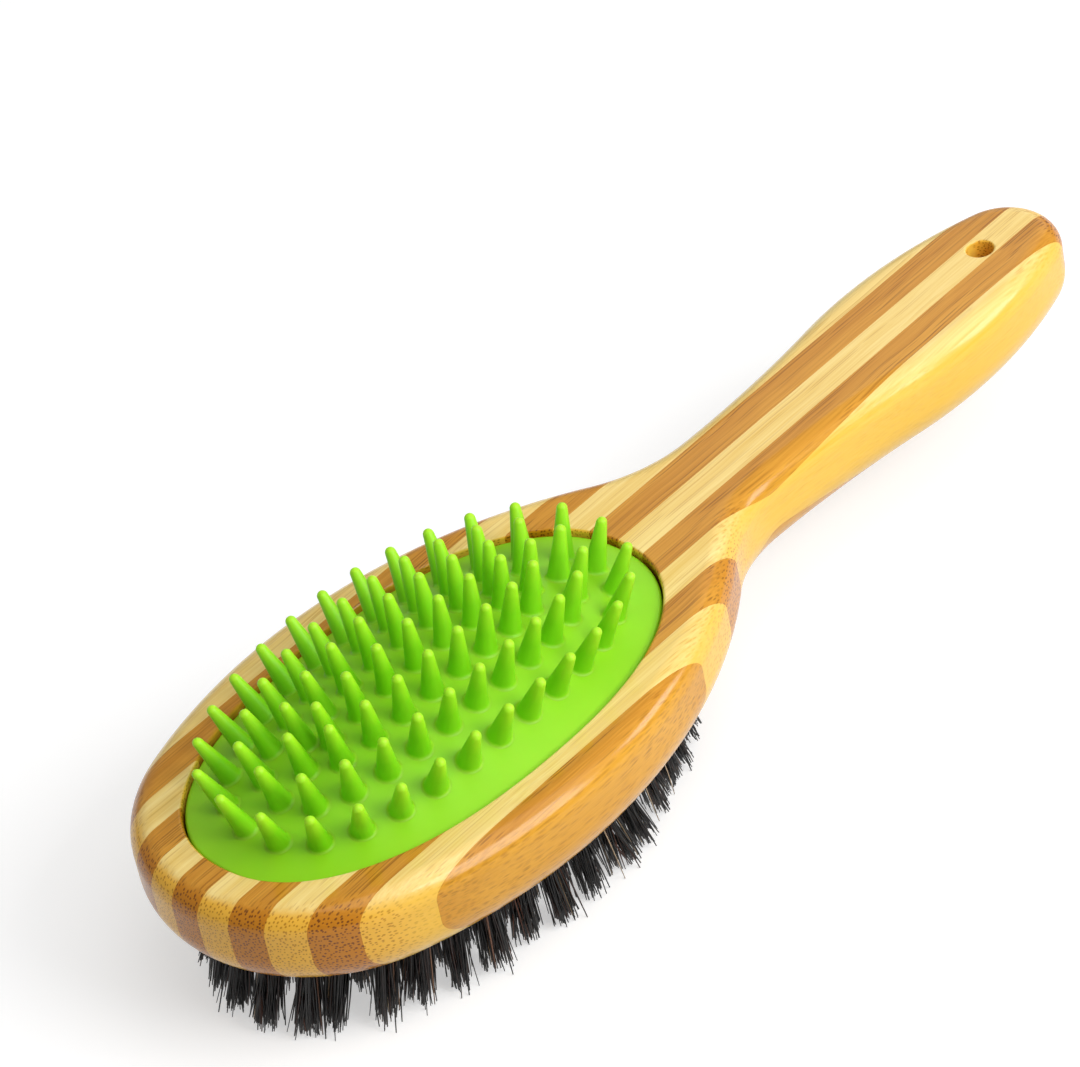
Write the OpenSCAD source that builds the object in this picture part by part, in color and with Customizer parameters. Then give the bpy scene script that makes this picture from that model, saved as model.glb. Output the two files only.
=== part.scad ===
// Two-sided grooming brush: a laminated bamboo body with a pinned rubber pad
// on its upper face and tufts of bristle on its lower face.
// +X runs from the head to the handle, +Z is up, and the bristle tips rest on z = 0.

/* [Body] */
// Length from the tip of the head to the end of the handle
overall_len = 225; // [215:1:240]
// Distance from the tip of the head to the middle of the pad
tip_len = 58.7; // [57:0.1:62]
// Greatest width of the head
head_w = 76.4; // [74:0.2:79]
// Distance from the middle of the pad back to the widest place of the head
head_back = 1.5; // [0.5:0.25:3]
// How much the outline's radius at the tip falls short of half the head's width
tip_ease = 4; // [3.2:0.1:5.2]
// Thickness of the board
body_t = 18; // [17:0.5:22]
// Round-over of the upper edge
top_round = 3; // [2:0.25:4]
// Round-over of the lower edge
low_round = 9; // [7:0.25:9.5]

/* [Handle] */
// Width of the neck at its narrowest
neck_w = 23.2; // [23.2:0.1:24.6]
// Distance from the middle of the pad to the narrowest place of the neck
neck_x = 78; // [76:0.2:82]
// Greatest width of the grip
grip_w = 30.6; // [29:0.2:33]
// Distance from the middle of the pad to the widest place of the grip
grip_x = 128.6; // [126:0.2:131]
// Radius of the outline at the end of the handle
end_r = 11; // [10:0.25:12]
// Diameter of the hanging hole
hang_d = 5; // [4:0.1:5.4]
// Distance from the hanging hole's centre to the end of the handle
hang_edge = 17; // [15:0.25:20]

/* [Strips] */
// Width of one bamboo strip
strip_w = 6.26; // [6.1:0.01:6.26]
// Distance from the outermost joint on the +Y side to half the head's width
edge_cover = 3.77; // [3:0.01:5]
// Angle between the strips and the brush's axis, in degrees
grain_skew = 1.6; // [1:0.1:1.6]
// Distance from the narrowest place of the neck to where the middle strip crosses the axis
grain_run = 71.3; // [60:0.1:71.3]

/* [Pad] */
// Length of the pocket in the upper face
pocket_l = 99; // [95:0.5:101]
// Width of the pocket
pocket_w = 57.2; // [54:0.2:59]
// Depth of the pocket
pocket_h = 5; // [4:0.25:6]
// Gap between the pad and the pocket's wall
pad_gap = 0.3; // [0.1:0.05:0.6]
// Depth of the pad's edge below the upper face of the board
edge_drop = 3; // [2.5:0.1:3.5]
// Rise of the pad's crown above its edge
crown = 10.7; // [9:0.1:12]
// Thickness of the pad's skin over its hollow
skin_t = 2.2; // [1.8:0.1:3]
// Width of the flange that the pad seats on
flange_w = 6; // [5:0.5:8]

/* [Pins] */
// Length of a pin above the pad
pin_l = 10; // [8:0.25:12]
// Diameter of a pin where it leaves the pad
pin_d = 4; // [3:0.1:4.6]
// Diameter of a pin at its round tip
pin_tip_d = 2; // [1.4:0.1:2.4]
// Distance from the pad's edge to the outer oval of pins
pin_margin = 8.1; // [7:0.1:9]
// Distance from one oval of pins to the next
pin_row = 6.7; // [6.2:0.05:6.8]
// Number of pins in the outer oval
pins_1 = 28; // [20:2:30]
// Number of pins in the second oval
pins_2 = 24; // [16:2:24]
// Number of pins in the third oval
pins_3 = 18; // [12:2:18]
// Number of pins in the centre row
pins_4 = 7; // [3:1:7]

/* [Bristles] */
// Length of the bristles below the board
bristle_l = 15; // [12:0.25:17]
// Thickness of the slice of board that the tufts are set in
slice_t = 1.2; // [0.8:0.1:2]
// Distance from the edge of the board's flat underside to the slice
slice_inset = 1; // [0.8:0.1:1.6]
// Distance from the slice's edge to the outer oval of tufts
tuft_margin = 2.2; // [2:0.1:3]
// Distance from one oval of tufts to the next, along the brush
tuft_row = 6.4; // [6:0.05:6.6]
// Half of the width that the innermost oval of the tufts' pattern leaves at the axis
tuft_core = 0.4; // [0.2:0.05:1]
// Number of tufts in the outer oval
tufts_1 = 36; // [24:2:36]
// Number of tufts in the second oval
tufts_2 = 30; // [20:2:30]
// Number of tufts in the third oval
tufts_3 = 24; // [16:2:24]
// Number of tufts in the fourth oval
tufts_4 = 17; // [10:1:17]
// Number of tufts in the centre row
tufts_5 = 7; // [3:1:7]
// Distance of each strand from the middle of its tuft, at the root
strand_off = 0.95; // [0.85:0.05:1.1]
// Thickness of a strand across its corners, at the root
strand_d = 1.1; // [0.8:0.05:1.15]
// Thickness of a strand across its corners, at the tip
strand_tip_d = 0.7; // [0.4:0.05:0.8]
// Spread of a tuft's strands at the tip
strand_splay = 0.8; // [0.3:0.05:1]
// Lean of the outer tufts' tips, outward
tuft_lean = 1.5; // [0:0.1:2]

/* [Hidden] */

natural_bamboo = "#EBC878";
carbonised_bamboo = "#B9803F";
lime_silicone = "#7CD01C";
black_bristle = "#17120F";

// Heights and places that follow from the sizes above
board_z = bristle_l;
top_z = board_z + body_t;
head_x = -overall_len / 2 + tip_len;
end_x = overall_len - tip_len;
hang_x = end_x - hang_edge;
strands = 3;
trim = 0.5;
far = 400;

// Fullness of the ovals of the pocket, the pins and the tufts
pocket_full = 2.27;
ring_full = 2.4;

// Outline of the body: six arcs from the tip to the end of the handle on the +Y side.
// Each arc is tangent to the next, so the radii of the four side arcs follow from the sizes.
head_half = head_w / 2;
tip_r = head_half - tip_ease;
neck_half = neck_w / 2;
grip_half = grip_w / 2;
tip_c = [tip_r - tip_len, 0];
end_c = [end_x - end_r, 0];
side_r = (pow(tip_c[0] + head_back, 2) + head_half * head_half - tip_r * tip_r) / (2 * (head_half - tip_r));
side_c = [-head_back, head_half - side_r];
grip_r = (pow(end_c[0] - grip_x, 2) + grip_half * grip_half - end_r * end_r) / (2 * (grip_half - end_r));
grip_c = [grip_x, grip_half - grip_r];
// Two arcs that curve opposite ways, level at both ends, have this sum of radii
function s_bend(dx, dy) = (dx * dx + dy * dy) / (2 * dy);
neck_r = s_bend(neck_x + head_back, head_half - neck_half) - side_r;
neck_c = [neck_x, neck_half + neck_r];
hollow_r = s_bend(grip_x - neck_x, grip_half - neck_half) - grip_r;
hollow_c = [neck_x, neck_half + hollow_r];
function heading(a, b) = atan2(b[1] - a[1], b[0] - a[0]);
tip_turn = heading(side_c, tip_c);
neck_turn = heading(side_c, neck_c);
hollow_turn = heading(hollow_c, grip_c);
end_turn = heading(grip_c, end_c);

// Side arcs: centre, radius, sense (1 bulges out, -1 hollows in), first and last heading,
// steps of the core, and whether the edge piece is lapped under its neighbours
arcs = [
    [side_c, side_r, 1, tip_turn, neck_turn, 12, true],
    [neck_c, neck_r, -1, neck_turn - 180, -90, 8, false],
    [hollow_c, hollow_r, -1, -90, hollow_turn, 3, true],
    [grip_c, grip_r, 1, hollow_turn + 180, end_turn, 6, false]
];

// What is planed off both faces once the board is in one piece
skim = 0.03;
// Round-over of the board's edge: inset and height of each level, from the underside up
low_steps = 8;
top_steps = 4;
levels = concat(
    [for (i = [0:low_steps])
        let (a = 90 * i / low_steps)
        [low_round * (1 - sin(a)), low_round * (1 - cos(a)) - skim]],
    [for (i = [0:top_steps])
        let (a = 90 * i / top_steps)
        [top_round * (1 - cos(a)), body_t + skim - top_round * (1 - sin(a))]]
);
// Depth of the turned edge pieces, and inset of the core that fills the board between them
edge_reach = low_round + 1.2;
core_inset = low_round + 0.6;
// Every second edge piece runs on under its neighbours by the lap, set in by the step
seam_lap = 1;
seam_step = 0.05;

// A turned piece of the board's edge along one arc
module edge_turn(c, r, sense, from, to, inner, lapped) {
    lap = lapped ? seam_lap / r * 180 / PI : 0;
    edge_r = lapped ? r - sense * seam_step : r;
    first = min(from, to) - lap;
    translate([c[0], c[1], 0])
        rotate([0, 0, first])
            rotate_extrude(angle = max(from, to) + lap - first, $fn = 180)
                polygon(concat(
                    [[inner, -skim]],
                    [for (l = levels) [edge_r - sense * l[0], l[1]]],
                    [[inner, body_t + skim]]
                ));
}

// Corners of the core on the +Y side: half a step off every seam, and half a step past the first and last
core_side = [for (k = [0:3])
    let (a = arcs[k], last = k == 3 ? a[5] : a[5] - 1)
    for (i = [(k == 0 ? -1 : 0):last])
        let (t = a[3] + (a[4] - a[3]) * (i + 0.5) / a[5], r = a[1] - a[2] * core_inset)
        a[0] + r * [cos(t), sin(t)]];
core_back = [for (i = [len(core_side) - 1:-1:0]) [core_side[i][0], -core_side[i][1]]];

// The board before it is cut
module board() {
    translate([head_x, 0, board_z])
        union() {
            edge_turn(tip_c, tip_r, 1, tip_turn, 360 - tip_turn, 0, false);
            edge_turn(end_c + [seam_step, 0], end_r, 1, -end_turn, end_turn, 0, true);
            for (flip = [0:1])
                mirror([0, flip, 0])
                    for (a = arcs)
                        edge_turn(a[0], a[1], a[2], a[3], a[4], a[1] - a[2] * edge_reach, a[6]);
            translate([0, 0, -skim])
                linear_extrude(body_t + 2 * skim)
                    polygon(concat(core_side, core_back));
        }
}

// An oval with the given half-length, half-width and fullness
function power(v, e) = sign(v) * pow(abs(v), e);
function oval(a, b, full, n) =
    [for (i = [0:n - 1]) let (t = 360 * i / n) [a * power(cos(t), 2 / full), b * power(sin(t), 2 / full)]];

// Places at even distances along an oval, starting at a share of one step
function oval_walk(a, b, full, copies, phase) =
    let (
        n = 180,
        o = oval(a, b, full, n),
        run = [for (i = 0, s = 0; i <= n; s = s + norm(o[(i + 1) % n] - o[i % n]), i = i + 1) [s, i]],
        total = run[n][0]
    )
    [for (k = [0:copies - 1])
        let (f = lookup(total * (k + phase) / copies, run), i = floor(f), u = f - i)
        o[i % n] * (1 - u) + o[(i + 1) % n] * u];

// Places along a straight centre row
function row_walk(half, copies) =
    [for (k = [0:copies - 1]) [copies > 1 ? -half + 2 * half * k / (copies - 1) : 0, 0]];

module pocket() {
    translate([head_x, 0, top_z - pocket_h])
        linear_extrude(pocket_h + 1)
            polygon(oval(pocket_l / 2, pocket_w / 2, pocket_full, 96));
}

// Half-length and half-width of the slice that holds the tufts
slice_a = tip_len - low_round - slice_inset;
slice_b = head_w / 2 - low_round - slice_inset;
slice_full = 2.1;

// Insets are given along the brush and across it
module slice_disc(inset, h) {
    linear_extrude(h)
        polygon(oval(slice_a - inset[0], slice_b - inset[1], slice_full, 48));
}

module slice_seat() {
    translate([head_x, 0, board_z - 1])
        slice_disc([0, 0], slice_t + 1);
}

// Strip 7 lies under the hanging hole, lower numbers lie towards +Y. Each strip is held between
// two planes, measured from the place where the middle strip crosses the brush's axis.
// Strips 5 to 9 have the full width. The outermost joints keep their cover at the sides of the head,
// and the strips between share what is left evenly.
joint_5 = 2.5 * strip_w;
far_step = (head_half - edge_cover - joint_5) / 3;
near_step = (head_half - edge_cover - strip_w - joint_5) / 2;
function strip_low(k) =
    k < 5 ? joint_5 + (4 - k) * far_step :
    k > 9 ? -joint_5 - (k - 9) * near_step :
    (6.5 - k) * strip_w;
function strip_high(k) = strip_low(k - 1);
grain_x = neck_x + grain_run;

// Room between two planes along the strips, from one place to another along them
module room(low, high, from, to) {
    translate([head_x + grain_x, 0, 0])
        rotate([0, 0, grain_skew])
            translate([from, low, 0])
                cube([to - from, high - low, top_z + 1]);
}

// Room of a strip that runs the whole length
module full_room(k) {
    room(strip_low(k), strip_high(k), -far, far / 2);
}

// Room of a strip that ends at the neck
module head_room(k) {
    room(strip_low(k), strip_high(k), -far, -grain_run);
}

// Space between the board's planed faces
module planed() {
    translate([-far / 2, -far / 2, board_z])
        cube([far, far, body_t]);
}

// The part of the board that lies in the given room, with its share of the pocket and of the slice's seat
module strip_blank() {
    difference() {
        intersection() {
            board();
            planed();
            children();
        }
        pocket();
        slice_seat();
    }
}

module natural_strip() {
    color(natural_bamboo)
        strip_blank()
            children();
}

module dark_strip() {
    color(carbonised_bamboo)
        strip_blank()
            children();
}

// The outermost strip on the +Y side
module strip_01() {
    natural_strip()
        room(strip_low(1), far / 2, -far, -grain_run);
}

module strip_02() {
    dark_strip()
        head_room(2);
}

module strip_03() {
    natural_strip()
        head_room(3);
}

module strip_04() {
    dark_strip()
        head_room(4);
}

// The strip that forms the +Y side of the handle
module strip_05() {
    natural_strip()
        union() {
            head_room(5);
            room(strip_low(5), far / 2, -grain_run - seam_lap, far / 2);
        }
}

module strip_06() {
    dark_strip()
        full_room(6);
}

// The middle strip, bored for hanging
module strip_07() {
    color(natural_bamboo)
        difference() {
            strip_blank()
                full_room(7);
            translate([head_x + hang_x, 0, board_z - 1])
                cylinder(d = hang_d, h = body_t + 2, $fn = 48);
        }
}

module strip_08() {
    dark_strip()
        full_room(8);
}

// The strip that forms the -Y side of the handle, thin where it passes the neck
module strip_09() {
    natural_strip()
        union() {
            head_room(9);
            room(-far / 2, strip_high(9), -grain_run - seam_lap, far / 2);
        }
}

module strip_10() {
    dark_strip()
        head_room(10);
}

module strip_11() {
    natural_strip()
        head_room(11);
}

// The outermost strip on the -Y side
module strip_12() {
    dark_strip()
        room(-far / 2, strip_high(12), -far, -grain_run);
}

// The pad's crown is a circular arc along the brush, turned about an axis that lies below the pad
pad_a = pocket_l / 2 - pad_gap;
pad_b = pocket_w / 2 - pad_gap;
arc_r = (pad_a * pad_a + crown * crown) / (2 * crown);
turn_r = (pad_b * pad_b + crown * crown) / (2 * crown);
axis_z = top_z - edge_drop + crown - turn_r;

// Distance of the crown from its axis at a place along the brush
function crown_r(x) = turn_r - arc_r + sqrt(arc_r * arc_r - x * x);
function crown_point(p) = let (r = crown_r(p[0])) [p[0], p[1], axis_z + sqrt(r * r - p[1] * p[1])];
function crown_normal(p) =
    let (r = crown_r(p[0]), s = p[0] / arc_r, c = sqrt(1 - s * s))
    [s, c * p[1] / r, c * sqrt(r * r - p[1] * p[1]) / r];

// The turned body of the crown, smaller by the inset
module crown_body(inset) {
    translate([head_x, 0, axis_z])
        rotate([0, 90, 0])
            rotate_extrude($fn = 80)
                intersection() {
                    translate([turn_r - arc_r, 0])
                        circle(r = arc_r - inset, $fn = 160);
                    translate([0, -pad_a - 5])
                        square([turn_r, 2 * pad_a + 10]);
                }
}

module pad_room(inset, z) {
    translate([head_x, 0, z])
        linear_extrude(crown + pocket_h)
            polygon(oval(pad_a - inset, pad_b - inset, pocket_full, 64));
}

// One pin along +Z with a round tip, its root sunk into the pad's skin
module pin() {
    root = 0.7 * skin_t;
    r1 = pin_d / 2;
    r2 = pin_tip_d / 2;
    slope = (r1 - r2) / (pin_l - r2);
    rotate_extrude($fn = 10)
        polygon(concat(
            [[0, -root], [r1 + slope * root, -root]],
            [for (a = [0:45:45]) [r2 * cos(a), pin_l - r2 + r2 * sin(a)]],
            [[0, pin_l]]
        ));
}

pin_places = concat(
    oval_walk(pad_a - pin_margin, pad_b - pin_margin, ring_full, pins_1, 0.7),
    oval_walk(pad_a - pin_margin - pin_row, pad_b - pin_margin - pin_row, ring_full, pins_2, 0),
    oval_walk(pad_a - pin_margin - 2 * pin_row, pad_b - pin_margin - 2 * pin_row, ring_full, pins_3, 0),
    row_walk(pad_a - pin_margin - 3 * pin_row, pins_4)
);

module massage_pad() {
    color(lime_silicone)
        resize([0, 0, 0])
            union() {
                difference() {
                    intersection() {
                        crown_body(0);
                        pad_room(0, top_z - pocket_h);
                    }
                    intersection() {
                        crown_body(skin_t);
                        pad_room(flange_w, top_z - pocket_h - 1);
                    }
                }
                for (p = pin_places) {
                    n = crown_normal(p);
                    translate([head_x, 0, 0])
                        translate(crown_point(p))
                            rotate([0, acos(n[2]), atan2(n[1], n[0])])
                                pin();
                }
            }
}

// One strand of three sides, tapered from the root to the tip.
// Its middle ring of points is level with the board's underside.
module strand(foot, tip, turn) {
    share = (board_z - tip[2]) / (foot[2] - tip[2]);
    mouth = [for (i = [0:1]) tip[i] + (foot[i] - tip[i]) * share];
    rings = [
        [tip, strand_tip_d],
        [[mouth[0], mouth[1], board_z], strand_tip_d + (strand_d - strand_tip_d) * share],
        [foot, strand_d]
    ];
    points = [for (r = rings) for (a = [0:120:240]) r[0] + r[1] / 2 * [cos(a + turn), sin(a + turn), 0]];
    walls = [for (k = [0, 3]) for (i = [0:2]) let (j = (i + 1) % 3)
        each [[k + i, k + 3 + i, k + 3 + j], [k + i, k + 3 + j, k + j]]];
    polyhedron(points, concat([[0, 1, 2], [8, 7, 6]], walls));
}

// A tuft of strands: they spread towards the tip, lean outward, and end a little unevenly
module tuft(p, lean, seed) {
    out = norm(p) > 0 ? p / norm(p) : [0, 0];
    for (k = [0:strands - 1]) {
        a = 45 + 360 * k / strands + 23 * (seed % 4);
        short = 0.3 * ((seed * 3 + k * 5) % 4);
        side_way = [cos(a), sin(a)];
        at = p + strand_off * side_way;
        to = p + (strand_off + strand_splay) * side_way + lean * out;
        strand(
            [at[0], at[1], board_z + slice_t / 2],
            [to[0], to[1], max(0, short - trim)],
            a
        );
    }
}

// One oval of tufts, fused to its own ring of the slice and cut level at the tips
module bristle_group(places, outer, inner, lean) {
    color(black_bristle)
        resize([0, 0, 0])
            translate([head_x, 0, 0])
                union() {
                    translate([0, 0, board_z])
                        difference() {
                            slice_disc(outer, slice_t);
                            if (len(inner) == 2)
                                translate([0, 0, -1])
                                    slice_disc(inner, slice_t + 2);
                        }
                    for (i = [0:len(places) - 1])
                        tuft(places[i], lean, i);
                }
}

// Inset of oval k of tufts from the slice's edge, along and across the brush, and of the joint outside it.
// Across the brush the four steps share the slice's half-width.
tuft_step = [tuft_row, (slice_b - tuft_margin - tuft_core) / 4];
function tuft_inset(k) = [tuft_margin, tuft_margin] + (k - 1) * tuft_step;
function joint_inset(k) = k == 1 ? [0, 0] : tuft_inset(k) - tuft_step / 2;
function tuft_oval(k, copies, phase) =
    oval_walk(slice_a - tuft_inset(k)[0], slice_b - tuft_inset(k)[1], slice_full, copies, phase);

module bristle_ring_1() {
    bristle_group(tuft_oval(1, tufts_1, 0.5), joint_inset(1), joint_inset(2), tuft_lean);
}

module bristle_ring_2() {
    bristle_group(tuft_oval(2, tufts_2, 0), joint_inset(2), joint_inset(3), tuft_lean / 2);
}

module bristle_ring_3() {
    bristle_group(tuft_oval(3, tufts_3, 0.5), joint_inset(3), joint_inset(4), 0);
}

module bristle_ring_4() {
    bristle_group(tuft_oval(4, tufts_4, 0), joint_inset(4), joint_inset(5), 0);
}

module bristle_row() {
    bristle_group(row_walk(slice_a - tuft_inset(5)[0], tufts_5), joint_inset(5), [], 0);
}

strip_01();
strip_02();
strip_03();
strip_04();
strip_05();
strip_06();
strip_07();
strip_08();
strip_09();
strip_10();
strip_11();
strip_12();
massage_pad();
bristle_ring_1();
bristle_ring_2();
bristle_ring_3();
bristle_ring_4();
bristle_row();
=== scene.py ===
"""Two-sided grooming brush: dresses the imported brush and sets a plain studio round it.

The bamboo body is lofted as one smooth skin and sawn into its glued strips, the rubber pad
and its pins are surfaces on grids, and the tufts are loose hairs. Everything stays in the
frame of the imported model: +X from the tip of the head to the handle, +Z up, metres.
"""

import logging
import math
from dataclasses import dataclass, field
from enum import Enum

import bmesh
import bpy
import numpy as np
from mathutils import Matrix, Vector
from mathutils.geometry import tessellate_polygon


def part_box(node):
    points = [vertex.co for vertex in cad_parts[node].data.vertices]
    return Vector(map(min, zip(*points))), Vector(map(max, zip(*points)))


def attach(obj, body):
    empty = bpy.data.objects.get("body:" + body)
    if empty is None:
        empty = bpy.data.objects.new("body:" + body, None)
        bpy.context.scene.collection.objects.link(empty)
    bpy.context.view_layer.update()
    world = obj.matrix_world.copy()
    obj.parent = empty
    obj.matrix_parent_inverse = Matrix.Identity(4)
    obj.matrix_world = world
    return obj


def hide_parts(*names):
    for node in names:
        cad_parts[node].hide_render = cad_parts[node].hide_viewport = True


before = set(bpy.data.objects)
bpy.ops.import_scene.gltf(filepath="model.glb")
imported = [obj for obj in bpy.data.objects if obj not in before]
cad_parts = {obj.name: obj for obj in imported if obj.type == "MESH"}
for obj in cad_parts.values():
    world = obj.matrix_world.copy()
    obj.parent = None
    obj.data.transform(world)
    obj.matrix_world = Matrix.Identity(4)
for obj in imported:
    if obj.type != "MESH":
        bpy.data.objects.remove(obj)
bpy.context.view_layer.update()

MM = 0.001
BODY = "root"
LOG = logging.getLogger("brush")
WHITE = (1.0, 1.0, 1.0, 1.0)
SOFT = {"interpolation_type": "SMOOTHSTEP"}  # setting of a Map Range that eases at both ends
TINY = 1e-6  # keeps a division clear of zero
WELD = 1e-7  # metres within which a saw cut takes a point as lying on it

Array = np.ndarray


def linear(hex_colour: str) -> tuple[float, float, float, float]:
    """Turns an sRGB hex colour into linear red, green, blue and alpha, by the sRGB curve.

    Args:
        hex_colour: Colour as "#RRGGBB".

    Returns:
        Linear components with alpha 1.
    """
    srgb = np.array([int(hex_colour[i:i + 2], 16) for i in (1, 3, 5)]) / 255
    rgb = np.where(srgb <= 0.04045, srgb / 12.92, ((srgb + 0.055) / 1.055) ** 2.4)
    return (*rgb.tolist(), 1.0)


def per_metre(size: float) -> float:
    """Scale of a pattern whose marks have the given size in millimetres."""
    return 1 / (size * MM)


def feed(tree: bpy.types.NodeTree, node: bpy.types.Node, inputs: dict) -> None:
    """Sets or links inputs of a node.

    Args:
        tree: Node tree that the node is in.
        node: The node.
        inputs: Input name or number to a value, to the output socket that feeds it, or to the
            node whose first output feeds it.
    """
    for key, value in inputs.items():
        source = value.outputs[0] if isinstance(value, bpy.types.Node) else value
        if isinstance(source, bpy.types.NodeSocket):
            tree.links.new(source, node.inputs[key])
        else:
            node.inputs[key].default_value = source


def add_node(
    tree: bpy.types.NodeTree, kind: str, inputs: dict | None = None,
    stops: tuple[tuple[float, str], ...] = (), **settings: object,
) -> bpy.types.Node:
    """Adds a node with its settings and links.

    Args:
        tree: Node tree that the node goes into.
        kind: Blender's name of the node type, after "ShaderNode".
        inputs: Inputs as feed takes them.
        stops: Places and hex colours of a Color Ramp, in rising order.
        **settings: Properties of the node itself.

    Returns:
        The new node.
    """
    node = tree.nodes.new(f"ShaderNode{kind}")
    for name, value in settings.items():
        setattr(node, name, value)
    if stops:
        elements = node.color_ramp.elements
        while len(elements) < len(stops):
            elements.new(1.0)
        for element, (place, colour) in zip(elements, stops):
            element.position = place
            element.color = linear(colour)
    feed(tree, node, inputs or {})
    return node


def new_material(name: str) -> tuple[bpy.types.Material, bpy.types.NodeTree, bpy.types.Node]:
    """Makes a node material.

    Args:
        name: Name of the material.

    Returns:
        The material, its node tree and its Principled shader.
    """
    material = bpy.data.materials.new(name)
    material.use_nodes = True
    tree = material.node_tree
    return material, tree, tree.nodes["Principled BSDF"]


def angles(count: int) -> Array:
    """Even angles round a full turn, in radians."""
    return 2 * np.pi * np.arange(count) / count


def rays(turn: Array) -> Array:
    """Unit directions (cos, sin) at angles in radians."""
    return np.stack([np.cos(turn), np.sin(turn)], -1)


def lifted(plan: Array, level: Array) -> Array:
    """Gives rings of points in plan a third coordinate, the same all round each ring.

    Args:
        plan: Points (x, y), by ring and by place in the ring.
        level: Third coordinate of each ring.

    Returns:
        Points (x, y, z), by ring and by place in the ring.
    """
    return np.concatenate([
        plan, np.broadcast_to(level[:, None, None], (*plan.shape[:2], 1))], 2)


def grid_faces(rows: int, columns: int, first: int = 0) -> Array:
    """Four-sided faces of a grid of rows that close on themselves.

    Args:
        rows: Number of rows of points.
        columns: Number of points in each row; the last joins the first.
        first: Number of the grid's first point.

    Returns:
        Array of faces, four point numbers each.
    """
    row, column = np.meshgrid(np.arange(rows - 1), np.arange(columns), indexing="ij")
    after = (column + 1) % columns
    low, high = first + row * columns, first + (row + 1) * columns
    return np.stack(
        [low + column, low + after, high + after, high + column], -1).reshape(-1, 4)


def repeated(faces: Array, copies: int, points: int) -> Array:
    """Faces of several copies of a shape, numbered one copy after another.

    Args:
        faces: Faces of one copy.
        copies: Number of copies.
        points: Number of points in a copy.

    Returns:
        Array of faces.
    """
    return (np.arange(copies)[:, None, None] * points + faces[None]).reshape(-1, faces.shape[1])


def fans(rings: Array, poles: Array, count: int, forward: bool) -> Array:
    """Triangles that close rings of points to their poles.

    Args:
        rings: Number of each ring's first point.
        poles: Number of each ring's pole.
        count: Number of points in a ring.
        forward: Whether the triangles run round the ring as its points do.

    Returns:
        Array of triangles.
    """
    step = np.arange(count)
    after = (step + 1) % count
    pair = (step, after) if forward else (after, step)
    pole = np.broadcast_to(poles[:, None], (len(poles), count))
    return np.stack([*(rings[:, None] + side for side in pair), pole], -1).reshape(-1, 3)


def read_all(items: bpy.types.bpy_prop_collection, name: str, width: int, kind: type) -> Array:
    """Reads one property of all the items of a mesh.

    Args:
        items: Points, faces or corners of the mesh, or an attribute's data.
        name: Name of the property.
        width: Numbers in each value.
        kind: Type of the numbers.

    Returns:
        The values, one row for each item.
    """
    values = np.zeros(len(items) * width, kind)
    items.foreach_get(name, values)
    return values.reshape(-1, width)


def placed(name: str, data: bpy.types.ID) -> bpy.types.Object:
    """Makes an object at the origin and links it into the scene.

    Args:
        name: Name of the object.
        data: Its mesh, lamp or camera.

    Returns:
        The new object.
    """
    thing = bpy.data.objects.new(name, data)
    bpy.context.collection.objects.link(thing)
    return thing


def mesh_piece(
    name: str, points: Array, faces: list[list[int]], material: bpy.types.Material,
) -> bpy.types.Object:
    """Makes a smooth mesh object at the origin.

    Args:
        name: Name of the object and its mesh.
        points: Points in metres, one row each.
        faces: Lists of point numbers.
        material: Material of the whole piece.

    Returns:
        The new object.
    """
    mesh = bpy.data.meshes.new(name)
    mesh.from_pydata(points.tolist(), [], faces)
    mesh.polygons.foreach_set("use_smooth", np.ones(len(mesh.polygons), bool))
    mesh.materials.append(material)
    mesh.update()
    return placed(name, mesh)


def finish_piece(piece: bpy.types.Object, slot: str, *nodes: str) -> None:
    """Puts a piece on the body, hides the CAD nodes that it stands for and says which they are.

    Args:
        piece: The finished object, at the origin.
        slot: The record's material slot; not used.
        *nodes: CAD nodes that the piece replaces.
    """
    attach(piece, BODY)
    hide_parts(*nodes)
    LOG.info(
        "%s: %d faces, stands for %s", piece.name, len(piece.data.polygons), ", ".join(nodes))


def oval(half_length: float, half_width: float, fullness: float, count: int) -> Array:
    """Superellipse |x/a|^f + |y/b|^f = 1 by its angle.

    Args:
        half_length: Half-length a.
        half_width: Half-width b.
        fullness: Exponent f; 2 is an ellipse.
        count: Number of points.

    Returns:
        Points of the oval, anticlockwise from +X.
    """
    ray = rays(angles(count))
    return [half_length, half_width] * np.sign(ray) * np.abs(ray) ** (2 / fullness)


def oval_walk(
    half_length: float, half_width: float, fullness: float, copies: int, phase: float,
    fineness: int = 180,
) -> Array:
    """Places at even distances along an oval, by its running length.

    Args:
        half_length: Half-length of the oval.
        half_width: Half-width of the oval.
        fullness: Fullness of the oval.
        copies: Number of places.
        phase: Share of one step at which the first place lies.
        fineness: Number of points that the oval is measured along.

    Returns:
        The places, one row each.
    """
    loop = oval(half_length, half_width, fullness, fineness)
    closed = np.vstack([loop, loop[:1]])
    run = np.concatenate([[0], np.cumsum(np.linalg.norm(np.diff(closed, axis=0), axis=1))])
    goal = run[-1] * (np.arange(copies) + phase) / copies
    return np.stack([np.interp(goal, run, closed[:, axis]) for axis in (0, 1)], 1)


def row_walk(half: float, copies: int) -> Array:
    """Places along a straight centre row, from -half to +half."""
    return np.stack([np.linspace(-half, half, copies), np.zeros(copies)], 1)


class Shade(Enum):
    """The two kinds of bamboo strip in the body, by their slots."""

    NATURAL = "natural_bamboo"
    CARBONISED = "carbonised_bamboo"


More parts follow.
